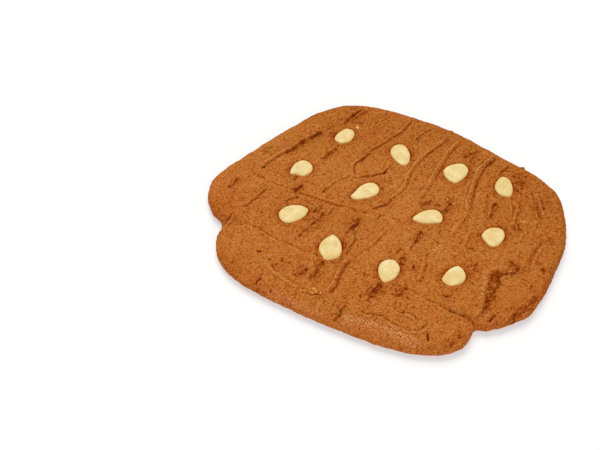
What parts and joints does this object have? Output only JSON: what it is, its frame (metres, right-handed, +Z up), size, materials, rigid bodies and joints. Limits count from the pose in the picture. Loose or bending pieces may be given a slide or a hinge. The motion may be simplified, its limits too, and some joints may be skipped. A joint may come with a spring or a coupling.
{
  "type": "almond speculaas biscuit",
  "caption": "Flat spiced biscuit slab with a rounded edge, a folded front strip, drag marks across its top and split almonds pressed into it, to be eaten by hand.",
  "frame": {"origin": "on the floor, under the middle of the slab's bounding box", "axes": "+X along the front edge, the slab's longest extent; +Y from the folded front strip to the back edge; +Z up, through the slab's thickness"},
  "size_m": [0.22, 0.19, 0.0117],
  "materials": {
    "crust": "matte",
    "almond": "matte"
  },
  "bodies": {
    "root": {"biscuit": "crust", "almond_01": "almond", "almond_02": "almond", "almond_03": "almond", "almond_04": "almond", "almond_05": "almond", "almond_06": "almond", "almond_07": "almond", "almond_08": "almond", "almond_09": "almond", "almond_10": "almond", "almond_11": "almond", "almond_12": "almond"}
  },
  "joints": []
}
